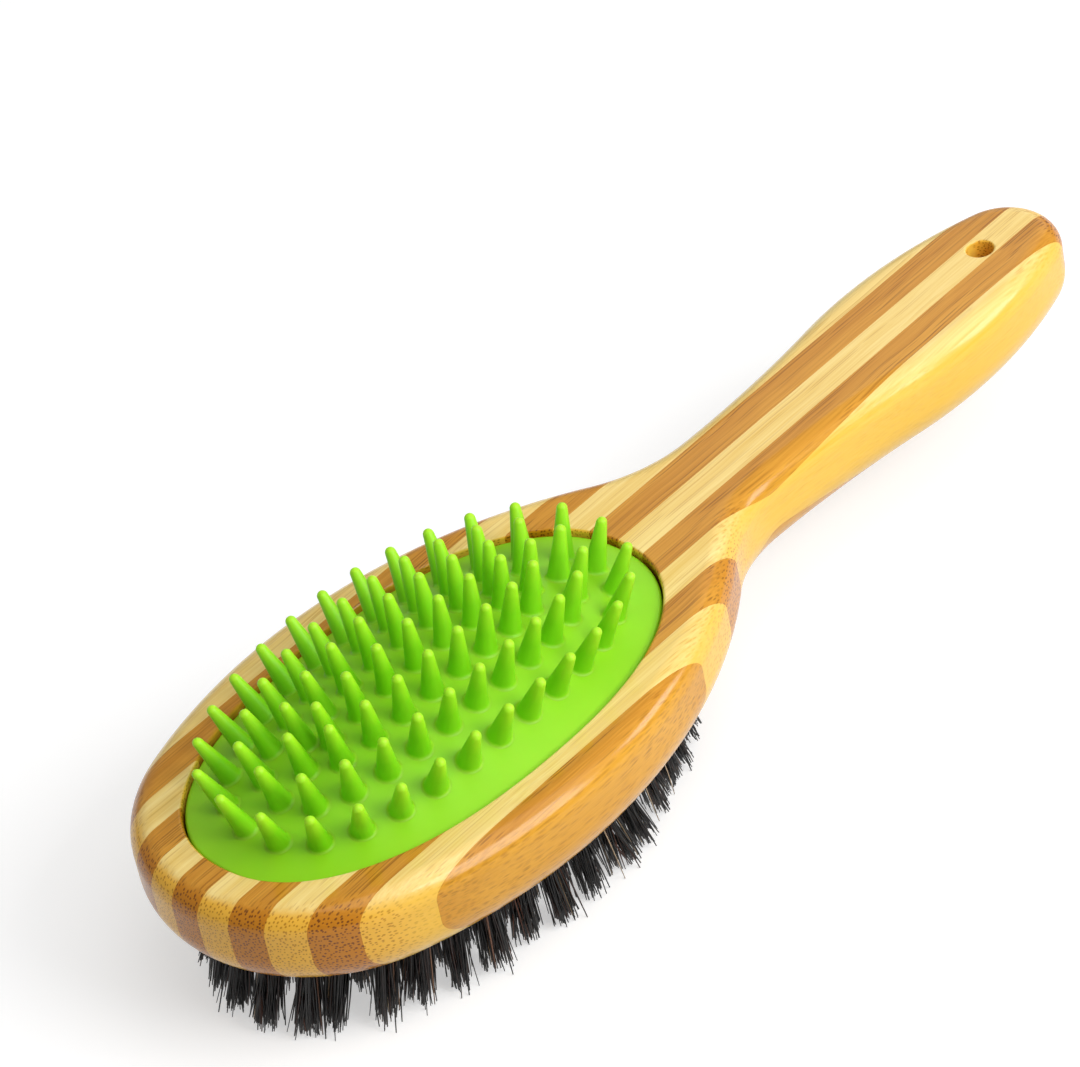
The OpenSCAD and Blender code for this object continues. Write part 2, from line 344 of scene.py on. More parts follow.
@dataclass(frozen=True)
class BambooFinish:
    """Bamboo strip, planed, sanded and lacquered.

    To the eye, fibre bundles run along it as fine streaks and show as dots where it is cut
    across, on a softly banded ground, under a thin clear gloss. Sizes of the marks are in
    millimetres: along the strip, across it and up.
    """

    name: str
    pale: str
    mid: str
    fibre: str
    end_ground: str
    end_fibre: str
    side: str
    streak_share: float
    flank_share: float
    fleck_share: float
    bundle: float = 0.6
    fleck: tuple[float, float, float] = (4.2, 0.6, 0.6)
    line: tuple[float, float, float] = (45.45, 0.3846, 0.3846)
    band: tuple[float, float, float] = (71.43, 3.03, 8.333)
    patch: tuple[float, float, float] = (35.71, 2.381, 2.381)
    bend: float = 22.22
    bend_by: float = 1.6
    pore_depth: float = 0.08
    roughness: float = 0.5
    ior: float = 1.5
    bare_gloss: float = 0.05
    lacquer: float = 0.7
    lacquer_roughness: float = 0.15

    def material(self, centre: tuple[float, float], skew: float) -> bpy.types.Material:
        """Builds the material.

        Args:
            centre: Place of the hanging hole, about which the strips are turned, in metres.
            skew: Angle of the strips to the brush's axis, in radians.

        Returns:
            The material.
        """
        material, tree, shader = new_material(self.name)
        place = add_node(tree, "TexCoord").outputs
        shifted = add_node(tree, "VectorMath", {
            0: place["Object"], 1: (-centre[0], -centre[1], 0)})
        along = add_node(tree, "Mapping", {"Vector": shifted, "Rotation": (0, 0, -skew)})

        # Fibre bundles: cells across the strip that run its whole length and bend a little.
        wander = add_node(tree, "TexNoise", {
            "Vector": along, "Scale": per_metre(self.bend), "Detail": 1.0})
        bent = add_node(tree, "MixRGB", {
            0: self.bend_by * MM, 1: along, 2: wander.outputs["Color"]}, blend_type="ADD")
        parts = add_node(tree, "SeparateXYZ", {0: bent}).outputs
        across = add_node(tree, "CombineXYZ", {0: parts[1], 1: parts[2]})
        bundles = add_node(tree, "TexVoronoi", {
            "Vector": across, "Scale": per_metre(self.bundle), "Randomness": 0.85},
            voronoi_dimensions="2D")
        girth = add_node(tree, "Math", {
            0: bundles.outputs["Color"], 1: 0.16, 2: bundles.outputs["Distance"]},
            operation="MULTIPLY_ADD")
        dot = add_node(tree, "MapRange", {
            "Value": girth, "From Min": 0.2, "From Max": 0.42, "To Min": 1.0, "To Max": 0.0},
            **SOFT)

        # Ground: hair lines and broad bands between the two tones of the wood.
        hair_map = add_node(tree, "Mapping", {
            "Vector": bent, "Scale": tuple(map(per_metre, self.line))})
        lines = add_node(tree, "TexNoise", {"Vector": hair_map, "Scale": 1.0, "Detail": 3.0})
        band_map = add_node(tree, "Mapping", {
            "Vector": along, "Scale": tuple(map(per_metre, self.band))})
        bands = add_node(tree, "TexNoise", {"Vector": band_map, "Scale": 1.0, "Detail": 2.0})
        tone = add_node(tree, "Math", {
            0: lines.outputs["Fac"], 1: bands.outputs["Fac"]}, operation="ADD")
        tone_share = add_node(tree, "MapRange", {
            "Value": tone, "From Min": 0.7, "From Max": 1.3})
        ground = add_node(
            tree, "ValToRGB", {"Fac": tone_share}, ((0.0, self.mid), (1.0, self.pale)))

        # Streaks: the bundles seen from the side, strong in some patches and faint in others.
        # The patches are set off, so that they don't fall in with the bands.
        patch_map = add_node(tree, "Mapping", {
            "Vector": along, "Scale": tuple(map(per_metre, self.patch)),
            "Location": (3.0, 1.0, 0.0)})
        patches = add_node(tree, "TexNoise", {"Vector": patch_map, "Scale": 1.0, "Detail": 1.0})
        shown = add_node(tree, "MapRange", {
            "Value": patches.outputs["Fac"],
            "From Min": 0.35, "From Max": 0.65, "To Min": 0.15, "To Max": 1.0})
        streak = add_node(tree, "Math", {0: dot, 1: shown}, operation="MULTIPLY")
        strength = add_node(tree, "Math", {0: streak, 1: self.streak_share}, operation="MULTIPLY")
        long_grain = add_node(tree, "MixRGB", {0: strength, 1: ground, 2: linear(self.fibre)})

        # Flanks: short flecks on a warmer tone, where the strip's own side shows.
        fleck_map = add_node(tree, "Mapping", {
            "Vector": along, "Scale": tuple(map(per_metre, self.fleck))})
        flecks = add_node(tree, "TexVoronoi", {"Vector": fleck_map, "Scale": 1.0})
        flecked = add_node(tree, "MapRange", {
            "Value": flecks.outputs["Distance"], "From Min": 0.1, "From Max": 0.48,
            "To Min": self.fleck_share, "To Max": 0.0}, **SOFT)
        mottled = add_node(tree, "MixRGB", {
            0: flecked, 1: linear(self.side), 2: linear(self.fibre)})
        end_grain = add_node(tree, "MixRGB", {
            0: dot, 1: linear(self.end_ground), 2: linear(self.end_fibre)})

        # Which of the three shows goes by how far the surface faces along or across the strip.
        facing = []
        for way in ((math.cos(skew), math.sin(skew), 0), (-math.sin(skew), math.cos(skew), 0)):
            share = add_node(tree, "VectorMath", {
                0: place["Normal"], 1: way}, operation="DOT_PRODUCT")
            facing.append(add_node(
                tree, "Math", {0: share.outputs["Value"]}, operation="ABSOLUTE"))
        cut_across = add_node(tree, "MapRange", {
            "Value": facing[0], "From Min": 0.22, "From Max": 0.6}, **SOFT)
        flank = add_node(tree, "MapRange", {
            "Value": facing[1], "From Min": 0.45, "From Max": 0.95,
            "To Max": self.flank_share}, **SOFT)
        warm = add_node(tree, "MixRGB", {0: flank, 1: long_grain, 2: mottled})
        colour = add_node(tree, "MixRGB", {0: cut_across, 1: warm, 2: end_grain})
        bump = add_node(tree, "Bump", {
            "Height": dot, "Strength": 0.12, "Distance": self.pore_depth * MM}, invert=True)
        feed(tree, shader, {
            "Base Color": colour, "Normal": bump, "Roughness": self.roughness, "IOR": self.ior,
            "Specular IOR Level": self.bare_gloss, "Coat Weight": self.lacquer,
            "Coat Roughness": self.lacquer_roughness})
        return material


@dataclass(frozen=True)
class SiliconeFinish:
    """Moulded translucent silicone rubber.

    To the eye, an even lime with a satin skin and faint clouds. The pins carry painted light:
    a greener tone low down, matched to their shaded lower sides (painted shade), and paler
    thin tips (painted light through the rubber). Sizes of the marks are in millimetres. The skin's
    real grain is too fine to show, so it is drawn coarser.
    """

    name: str = "lime_silicone_rubber"
    skin: str = "#8CCF12"
    # pin is painted shade, the pins' shaded lower tone; tip is painted light, the tips lit
    # through.
    pin: str = "#7ECE0A"
    tip: str = "#AEEA24"
    cloud: str = "#A2E22A"
    cloud_size: float = 26.32
    grain_size: float = 0.3846
    grain_depth: float = 0.05
    roughness: float = 0.46
    ior: float = 1.41
    gloss: float = 0.5
    glow_share: float = 0.35
    glow_tint: tuple[float, float, float] = (0.5, 1.0, 0.12)
    glow_depth: float = 2.0

    def material(self) -> bpy.types.Material:
        """Builds the material.

        Returns:
            The material, which reads the attribute tip_share: 0 on the skin, 1 at a pin's tip.
        """
        material, tree, shader = new_material(self.name)
        place = add_node(tree, "TexCoord").outputs["Object"]
        cloud = add_node(tree, "TexNoise", {
            "Vector": place, "Scale": per_metre(self.cloud_size), "Detail": 2.0})
        share = add_node(tree, "Attribute", attribute_name="tip_share")
        # Painted shade low on the pins and painted light at their tips, by the share of the way
        # up.
        tone = add_node(tree, "ValToRGB", {"Fac": share.outputs["Fac"]}, (
            (0.0, self.skin), (0.05, self.pin), (0.45, self.pin), (1.0, self.tip)))
        haze = add_node(tree, "MapRange", {
            "Value": cloud.outputs["Fac"], "From Min": 0.35, "From Max": 0.75, "To Max": 0.5})
        colour = add_node(tree, "MixRGB", {0: haze, 1: tone, 2: linear(self.cloud)})
        grain = add_node(tree, "TexNoise", {
            "Vector": place, "Scale": per_metre(self.grain_size), "Detail": 2.0})
        bump = add_node(tree, "Bump", {
            "Height": grain.outputs["Fac"], "Strength": 0.05,
            "Distance": self.grain_depth * MM})
        feed(tree, shader, {
            "Base Color": colour, "Normal": bump, "Roughness": self.roughness, "IOR": self.ior,
            "Specular IOR Level": self.gloss, "Subsurface Weight": self.glow_share,
            "Subsurface Radius": self.glow_tint, "Subsurface Scale": self.glow_depth * MM})
        return material


@dataclass(frozen=True)
class BristleFinish:
    """Coarse natural bristle mixed with nylon.

    To the eye, mostly black hairs, some russet and a few pale, all softly shiny. The russet and
    pale tones are partly real hairs and partly painted sheen and painted highlights of black
    hairs.
    """

    name: str = "black_mixed_bristle"
    # Russet and pale tones: partly hairs of those colours, partly painted sheen and painted
    # highlights.
    tones: tuple[tuple[float, str], ...] = (
        (0.0, "#060505"), (0.74, "#0E0A08"), (0.88, "#2E140C"), (0.96, "#5A311C"),
        (1.0, "#C9B294"))
    roughness: float = 0.36
    ior: float = 1.55

    def material(self) -> bpy.types.Material:
        """Builds the material.

        Returns:
            The material, which reads the attribute hair_tone, one number for each hair.
        """
        material, tree, shader = new_material(self.name)
        tone = add_node(tree, "Attribute", attribute_name="hair_tone")
        # Each hair's colour by its tone; the russet and pale ones partly stand for painted sheen
        # and highlights.
        colour = add_node(tree, "ValToRGB", {"Fac": tone.outputs["Fac"]}, self.tones)
        feed(tree, shader, {
            "Base Color": colour, "Roughness": self.roughness, "IOR": self.ior})
        return material


@dataclass
class Outline:
    """Plan of the body: six tangent arcs from the tip to the end of the handle, mirrored.

    Sizes in millimetres.
    """

    overall_len: float = 225.0
    tip_len: float = 58.7
    head_w: float = 76.4
    head_back: float = 1.5
    tip_r: float = 34.2
    neck_w: float = 23.2
    neck_x: float = 78.0
    grip_w: float = 30.6
    grip_x: float = 128.6
    end_r: float = 11.0
    least_steps: int = 6

    @property
    def head_x(self) -> float:
        """Place of the pad's middle along the brush."""
        return self.tip_len - self.overall_len / 2

    @staticmethod
    def s_bend(dx: float, dy: float) -> float:
        """Sum of the radii of two arcs that curve opposite ways and are level at both ends."""
        return (dx * dx + dy * dy) / (2 * dy)

    @staticmethod
    def bulge(reach: float, half: float, end_r: float) -> float:
        """Radius of an arc that is level at a half-width and runs on into an arc of end_r."""
        return (reach ** 2 + half ** 2 - end_r ** 2) / (2 * (half - end_r))

    @staticmethod
    def heading(start: Array, stop: Array) -> float:
        """Heading from one point to another, in radians."""
        return math.atan2(stop[1] - start[1], stop[0] - start[0])

    def arcs(self) -> list[tuple[Array, float, int, float, float]]:
        """Arcs of the +Y side, from the tip to the end of the handle.

        Neighbouring arcs meet on the line through their centres, so they share a tangent.

        Returns:
            For each arc its centre, radius, sense (1 bulges out, -1 hollows in) and first and
            last heading.
        """
        head, neck, grip = self.head_w / 2, self.neck_w / 2, self.grip_w / 2
        tip_c = np.array([self.tip_r - self.tip_len, 0.0])
        end_c = np.array([self.overall_len - self.tip_len - self.end_r, 0.0])
        side_r = self.bulge(tip_c[0] + self.head_back, head, self.tip_r)
        side_c = np.array([-self.head_back, head - side_r])
        grip_r = self.bulge(end_c[0] - self.grip_x, grip, self.end_r)
        grip_c = np.array([self.grip_x, grip - grip_r])
        neck_r = self.s_bend(self.neck_x + self.head_back, head - neck) - side_r
        neck_c = np.array([self.neck_x, neck + neck_r])
        hollow_r = self.s_bend(self.grip_x - self.neck_x, grip - neck) - grip_r
        hollow_c = np.array([self.neck_x, neck + hollow_r])
        tip_turn, neck_turn = self.heading(side_c, tip_c), self.heading(side_c, neck_c)
        hollow_turn, end_turn = self.heading(hollow_c, grip_c), self.heading(grip_c, end_c)
        return [
            (tip_c, self.tip_r, 1, math.pi, tip_turn),
            (side_c, side_r, 1, tip_turn, neck_turn),
            (neck_c, neck_r, -1, neck_turn - math.pi, -math.pi / 2),
            (hollow_c, hollow_r, -1, -math.pi / 2, hollow_turn),
            (grip_c, grip_r, 1, hollow_turn + math.pi, end_turn),
            (end_c, self.end_r, 1, end_turn, 0.0),
        ]

    def loop(self, spacing: float) -> tuple[Array, Array]:
        """Points round the whole outline with their outward directions.

        Each arc is centre + radius * (cos, sin) over its range of headings, in steps of about
        the spacing.

        Args:
            spacing: Distance from one point to the next.

        Returns:
            Points, and outward unit directions, both with one row for each point.
        """
        places, outward = [], []
        for centre, radius, sense, start, stop in self.arcs():
            steps = max(self.least_steps, int(radius * abs(stop - start) / spacing))
            ray = rays(np.linspace(start, stop, steps, endpoint=False))
            places.append(centre + radius * ray)
            outward.append(sense * ray)
        end = [[self.overall_len - self.tip_len, 0.0]]
        side, side_out = np.vstack([*places, end]), np.vstack([*outward, [[1.0, 0.0]]])
        flip = np.array([1.0, -1.0])
        points = np.vstack([side, side[-2:0:-1] * flip])
        return points + [self.head_x, 0], np.vstack([side_out, side_out[-2:0:-1] * flip])


@dataclass
class BambooBody:
    """The board: one lofted skin, sawn into twelve glued strips.

    Sizes in millimetres, the angle of the strips in degrees.
    """

    outline: Outline
    under_z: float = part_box("strip_07")[0][2] / MM
    thickness: float = 18.0
    top_round: float = 4.6
    low_round: float = 9.0
    pocket_l: float = 99.0
    pocket_w: float = 57.2
    pocket_depth: float = 5.0
    pocket_full: float = 2.27
    pocket_edge: float = 0.6
    hang_edge: float = 17.0
    hang_d: float = 5.0
    hang_rim: float = 0.5
    strip_w: float = 6.26
    grain_skew: float = 1.6
    strips: int = 12
    middle_strip: int = 7
    handle_strips: tuple[int, int] = (5, 9)
    spacing: float = 0.55
    low_points: int = 23
    top_points: int = 15
    lip_points: int = 7
    pocket_points: int = 220
    hole_points: int = 48
    finishes: dict[Shade, BambooFinish] = field(default_factory=lambda: {
        Shade.NATURAL: BambooFinish(
            name="natural_bamboo_lacquered", pale="#F6DB8E", mid="#E7C064", fibre="#B9812F",
            end_ground="#EFB63C", end_fibre="#BC801C", side="#E9B630",
            streak_share=0.4, flank_share=0.8, fleck_share=0.16),
        Shade.CARBONISED: BambooFinish(
            name="carbonised_bamboo_lacquered", pale="#D69834", mid="#BB7A1E", fibre="#784206",
            end_ground="#C27A10", end_fibre="#6E3A04", side="#DEA42A",
            streak_share=0.65, flank_share=0.5, fleck_share=0.5),
    })

    @property
    def hang_x(self) -> float:
        """Place of the hanging hole along the brush."""
        return self.outline.overall_len / 2 - self.hang_edge

    @property
    def top_z(self) -> float:
        """Height of the upper face."""
        return self.under_z + self.thickness

    @property
    def skew(self) -> float:
        """Angle of the strips to the brush's axis, in radians."""
        return math.radians(self.grain_skew)

    def edge_levels(self) -> tuple[Array, Array, Array]:
        """Profile of the board's edge: two quarter circles joined by an upright wall.

        A quarter circle of radius r is set in by r * (1 - sin) and rises by r * (1 - cos).

        Returns:
            Inset and height of each level, from the underside up, and the profile's normal
            (outward, up).
        """
        low = np.linspace(0, np.pi / 2, self.low_points)
        top = np.linspace(0, np.pi / 2, self.top_points)
        inset = np.concatenate([
            self.low_round * (1 - np.sin(low)), self.top_round * (1 - np.cos(top))])
        height = np.concatenate([
            self.low_round * (1 - np.cos(low)),
            self.thickness - self.top_round * (1 - np.sin(top))])
        normal = np.concatenate([
            np.stack([np.sin(low), -np.cos(low)], 1), np.stack([np.cos(top), np.sin(top)], 1)])
        return inset, height, normal

    def skin(self) -> tuple[Array, Array, list[list[int]]]:
        """The board's closed skin with the pocket and the hanging hole.

        Rings of points: the edge's levels set in from the outline, the pocket's rounded lip and
        wall, and the hole's lips and wall. The flats between the rings are filled as polygons
        with holes.

        Returns:
            Points in millimetres, their smooth normals, and the faces.
        """
        loop, outward = self.outline.loop(self.spacing)
        inset, height, slope = self.edge_levels()
        edge = lifted(loop[None] - inset[:, None, None] * outward[None], height)
        edge_normal = lifted(slope[:, :1, None] * outward[None], slope[:, 1])

        lip = np.linspace(0, np.pi / 2, self.lip_points)
        half = np.array([self.pocket_l, self.pocket_w]) / 2
        grow = np.append(self.pocket_edge * (1 - np.sin(lip)), 0.0)
        drop = np.append(self.pocket_edge * (1 - np.cos(lip)), self.pocket_depth)
        ovals = np.stack([
            oval(*(half + more), self.pocket_full, self.pocket_points) for more in grow])
        ovals[..., 0] += self.outline.head_x
        inward = -rays(angles(self.pocket_points)) / half
        inward /= np.linalg.norm(inward, axis=1, keepdims=True)
        pocket = lifted(ovals, self.thickness - drop)
        pocket_normal = lifted(
            np.append(np.sin(lip), 1.0)[:, None, None] * inward[None],
            np.append(np.cos(lip), 0.0))

        ray = rays(angles(self.hole_points))
        radius = self.hang_d / 2 + self.hang_rim * (1 - np.sin(lip))
        sunk = self.hang_rim * (1 - np.cos(lip))
        hole = lifted(
            np.append(radius, radius[::-1])[:, None, None] * ray[None] + [self.hang_x, 0],
            np.append(self.thickness - sunk, sunk[::-1]))
        hole_normal = lifted(
            -np.append(np.sin(lip), np.sin(lip[::-1]))[:, None, None] * ray[None],
            np.append(np.cos(lip), -np.cos(lip[::-1])))

        grids = [edge, pocket, hole]
        starts = np.cumsum([0] + [grid.shape[0] * grid.shape[1] for grid in grids])
        points = np.concatenate([grid.reshape(-1, 3) for grid in grids])
        normals = np.concatenate([
            grid.reshape(-1, 3) for grid in (edge_normal, pocket_normal, hole_normal)])
        faces = []
        for grid, start in zip(grids, starts):
            faces += grid_faces(grid.shape[0], grid.shape[1], start).tolist()

        def ring(which: int, row: int) -> Array:
            """Point numbers of one row of a grid."""
            rows, count = grids[which].shape[:2]
            return starts[which] + (row % rows) * count + np.arange(count)

        upper_face = [ring(0, -1), ring(1, 0), ring(2, 0)]
        underside = [ring(0, 0), ring(2, -1)]
        pocket_floor = [ring(1, -1)]
        for loops in (upper_face, underside, pocket_floor):
            numbers = np.concatenate(loops)
            filled = tessellate_polygon([[Vector(p) for p in points[row]] for row in loops])
            faces += numbers[np.array(filled)].tolist()
        points[:, 2] += self.under_z
        return points, normals, faces

    def sawn(self, board: bmesh.types.BMesh, number: int) -> bmesh.types.BMesh:
        """Saws one strip out of a copy of the board and closes its sawn faces.

        Args:
            board: The whole board, in metres.
            number: The strip's number; the lowest lies farthest towards +Y.

        Returns:
            The strip.
        """
        strip = board.copy()
        across = Vector((-math.sin(self.skew), math.cos(self.skew), 0))
        along = Vector((math.cos(self.skew), math.sin(self.skew), 0))
        hole = Vector((self.hang_x * MM, 0, 0))
        neck = Vector(((self.outline.head_x + self.outline.neck_x) * MM, 0, 0))
        first, last = self.handle_strips
        low = (self.middle_strip - 0.5 - number) * self.strip_w * MM
        high = (self.middle_strip + 0.5 - number) * self.strip_w * MM

        def cut(point: Vector, away: Vector, head_only: bool) -> None:
            """Removes what lies beyond a plane.

            Args:
                point: A point of the plane.
                away: The plane's normal, towards what is removed.
                head_only: Whether the cut stops short at the neck.
            """
            verts = [v for v in strip.verts if not head_only or (v.co - neck).dot(along) < 0]
            inside = set(verts)
            edges = [e for e in strip.edges if all(v in inside for v in e.verts)]
            faces = [f for f in strip.faces if all(v in inside for v in f.verts)]
            bmesh.ops.bisect_plane(
                strip, geom=verts + edges + faces, dist=WELD, plane_co=point, plane_no=away,
                clear_outer=True)

        if number < first or number > last:
            cut(neck, along, False)
        if number > 1:
            cut(hole + across * high, across, number == first)
        if number < self.strips:
            cut(hole + across * low, -across, number == last)
        rim = [e for e in strip.edges if len(e.link_faces) == 1]
        flagged = strip.faces.layers.int["sawn"]
        caps = bmesh.ops.holes_fill(strip, edges=rim, sides=0)["faces"]
        for face in bmesh.ops.triangulate(strip, faces=caps)["faces"]:
            face[flagged] = 1
        return strip

    @staticmethod
    def strip_piece(
        name: str, strip: bmesh.types.BMesh, material: bpy.types.Material,
    ) -> bpy.types.Object:
        """Turns a sawn strip into an object.

        Its sawn faces have flat normals, and the rest keeps the board's smooth ones.

        Args:
            name: Name of the piece.
            strip: The sawn strip.
            material: Its material.

        Returns:
            The piece.
        """
        mesh = bpy.data.meshes.new(name)
        strip.to_mesh(mesh)
        mesh.polygons.foreach_set("use_smooth", np.ones(len(mesh.polygons), bool))
        smooth = read_all(mesh.attributes["skin_normal"].data, "vector", 3, float)
        smooth /= np.maximum(np.linalg.norm(smooth, axis=1, keepdims=True), TINY)
        sawn = read_all(mesh.attributes["sawn"].data, "value", 1, np.int32)
        flat = read_all(mesh.polygons, "normal", 3, float)
        sizes = read_all(mesh.polygons, "loop_total", 1, np.int32)[:, 0]
        corners = read_all(mesh.loops, "vertex_index", 1, np.int32)[:, 0]
        owner = np.repeat(np.arange(len(sizes)), sizes)
        normals = np.where(sawn[owner] == 1, flat[owner], smooth[corners])
        for helper in ("skin_normal", "sawn"):
            mesh.attributes.remove(mesh.attributes[helper])
        mesh.normals_split_custom_set(normals.tolist())
        mesh.materials.append(material)
        return placed(name, mesh)

    def build(self) -> list[bpy.types.Object]:
        """Builds and dresses the strips.

        Returns:
            The strips, in order.
        """
        points, normals, faces = self.skin()
        mesh = bpy.data.meshes.new("board")
        mesh.from_pydata((points * MM).tolist(), [], faces)
        carried = mesh.attributes.new("skin_normal", "FLOAT_VECTOR", "POINT")
        carried.data.foreach_set("vector", normals.ravel())
        mesh.attributes.new("sawn", "INT", "FACE")
        board = bmesh.new()
        board.from_mesh(mesh)
        bmesh.ops.recalc_face_normals(board, faces=board.faces)
        centre = (self.hang_x * MM, 0.0)
        materials = {
            shade: finish.material(centre, self.skew) for shade, finish in self.finishes.items()}
        pieces = []
        for number in range(1, self.strips + 1):
            shade = Shade.NATURAL if number % 2 else Shade.CARBONISED
            strip = self.sawn(board, number)
            node = f"strip_{number:02d}"
            piece = self.strip_piece(f"bamboo_{node}", strip, materials[shade])
            strip.free()
            finish_piece(piece, shade.value, node)
            pieces.append(piece)
        board.free()
        bpy.data.meshes.remove(mesh)
        return pieces


@dataclass
class MassagePad:
    """Crowned rubber pad in the pocket, with cone pins that stand square to it.

    Sizes in millimetres; shares are of the way from the pad's middle to its rim.
    """

    body: BambooBody
    gap: float = 0.3
    seat_gap: float = 0.02
    edge_drop: float = 3.0
    crown: float = 10.7
    rim_drop: float = 1.0
    rim_from: float = 0.72
    lip: float = 0.7
    pin_l: float = 10.0
    pin_d: float = 4.0
    pin_tip_d: float = 2.0
    pin_fillet: float = 0.7
    pin_sunk: float = 0.02
    pin_skirt: float = 0.35
    skirt_sunk: float = 0.1
    heel_sunk: float = 0.6
    pin_margin: float = 8.1
    pin_row: float = 6.7
    pins: tuple[int, int, int, int] = (28, 24, 18, 7)
    phases: tuple[float, float, float] = (0.7, 0.0, 0.0)
    ring_full: float = 2.4
    hub_share: float = 0.02
    face_share: float = 0.9
    rim_share: float = 0.92
    face_rings: int = 36
    rim_rings: int = 6
    lip_points: int = 7
    rim_points: int = 240
    fillet_points: int = 6
    taper_points: int = 6
    dome_points: int = 8
    pin_sides: int = 20
    finish: SiliconeFinish = field(default_factory=SiliconeFinish)

    def __post_init__(self) -> None:
        """Works out the crown: an arc along the brush, turned about an axis below the pad."""
        self.fullness = self.body.pocket_full
        self.half = np.array([self.body.pocket_l / 2, self.body.pocket_w / 2]) - self.gap
        self.arc_r, self.turn_r = (self.half ** 2 + self.crown ** 2) / (2 * self.crown)
        self.axis_z = self.body.top_z - self.edge_drop + self.crown - self.turn_r

    def crown_point(self, plan: Array) -> tuple[Array, Array]:
        """Points of the crown over places in plan, with the normals there.

        The crown's distance from its axis is r(x) = turn_r - arc_r + sqrt(arc_r^2 - x^2),
        and its height is axis_z + sqrt(r^2 - y^2).

        Args:
            plan: Places (x, y) measured from the pad's middle.

        Returns:
            Points (x, y, z) and unit normals.
        """
        x, y = plan[..., 0], plan[..., 1]
        slope = x / self.arc_r
        level = np.sqrt(1 - slope ** 2)
        radius = self.turn_r - self.arc_r * (1 - level)
        rise = np.sqrt(radius ** 2 - y ** 2)
        normal = np.stack([slope, level * y / radius, level * rise / radius], -1)
        return np.stack([x, y, self.axis_z + rise], -1), normal

    def surface(self, plan: Array) -> tuple[Array, Array]:
        """Points of the pad's upper surface over places in plan, with the crown's normals there.

        From the share rim_from of the way out, the crown is lifted by the square of the rest of
        the way, so that the rim ends level.

        Args:
            plan: Places (x, y) measured from the pad's middle.

        Returns:
            Points (x, y, z) and unit normals.
        """
        points, normals = self.crown_point(plan)
        reach = np.abs(plan / (self.half - self.lip)) ** self.fullness
        share = reach.sum(-1) ** (1 / self.fullness)
        rim, _ = self.crown_point(plan / np.maximum(share, TINY)[..., None])
        swell = np.clip((share - self.rim_from) / (1 - self.rim_from), 0, 1) ** 2
        points[..., 2] += swell * (self.body.top_z - self.rim_drop - rim[..., 2])
        return points, normals

    def skin(self) -> tuple[Array, list[list[int]]]:
        """The pad's closed skin.

        Rings of the pad's oval: its upper surface from the middle out, a rounded lip, an upright
        wall and a flat underside, closed at both poles.

        Returns:
            Points in millimetres and faces.
        """
        count = self.rim_points
        shares = np.append(
            np.linspace(self.hub_share, self.face_share, self.face_rings),
            np.linspace(self.rim_share, 1.0, self.rim_rings))
        rim = oval(*(self.half - self.lip), self.fullness, count)
        top, _ = self.surface(shares[:, None, None] * rim[None])
        turn = np.linspace(0, np.pi / 2, self.lip_points)[1:]
        outer = np.stack([
            oval(*(self.half - self.lip * (1 - np.sin(t))), self.fullness, count) for t in turn])
        level = top[-1, :, 2] - (self.lip * (1 - np.cos(turn)))[:, None]
        lip = np.concatenate([outer, level[..., None]], 2)
        seat = self.body.top_z - self.body.pocket_depth + self.seat_gap
        wall = lip[-1:].copy()
        wall[..., 2] = seat
        under = wall * [self.hub_share, self.hub_share, 1.0]
        rings = np.concatenate([top, lip, wall, under])
        peak, _ = self.crown_point(np.zeros((1, 2)))
        points = np.concatenate([rings.reshape(-1, 3), peak, [[0, 0, seat]]])
        points[:, 0] += self.body.outline.head_x
        ends = np.array([0, (len(rings) - 1) * count])
        poles = np.array([len(points) - 2, len(points) - 1])
        faces = grid_faces(len(rings), count).tolist()
        faces += fans(ends[:1], poles[:1], count, False).tolist()
        faces += fans(ends[1:], poles[1:], count, True).tolist()
        return points, faces

    def pin_places(self) -> Array:
        """Places of the pins: three ovals, each a row's width inside the last, and a centre row.

        Returns:
            The places in plan, measured from the pad's middle.
        """
        *ovals, row = self.pins
        places = [
            oval_walk(
                *(self.half - self.pin_margin - k * self.pin_row), self.ring_full, count, phase)
            for k, (count, phase) in enumerate(zip(ovals, self.phases))]
        reach = self.half[0] - self.pin_margin - len(ovals) * self.pin_row
        return np.vstack([*places, row_walk(reach, row)])

    def pin_profile(self) -> tuple[Array, Array]:
        """Profile of a pin: a hollow quarter circle at the root, a straight taper and a round tip.

        A short skirt runs out from the root, under the pad's surface.

        Returns:
            Radius and height of each level, from the skirt up.
        """
        foot, tip = self.pin_d / 2, self.pin_tip_d / 2
        bend = np.linspace(0, np.pi / 2, self.fillet_points)
        fillet_r = foot + self.pin_fillet * (1 - np.sin(bend))
        fillet_z = self.pin_fillet * (1 - np.cos(bend)) - self.pin_sunk
        share = np.linspace(0, 1, self.taper_points)[1:-1]
        taper_r = foot + share * (tip - foot)
        taper_z = fillet_z[-1] + share * (self.pin_l - tip - fillet_z[-1])
        dome = np.linspace(0, np.pi / 2, self.dome_points)[:-1]
        radius = np.concatenate([
            [fillet_r[0] + self.pin_skirt], fillet_r, taper_r, tip * np.cos(dome)])
        height = np.concatenate([
            [fillet_z[0] - self.skirt_sunk], fillet_z, taper_z,
            self.pin_l - tip + tip * np.sin(dome)])
        return radius, height

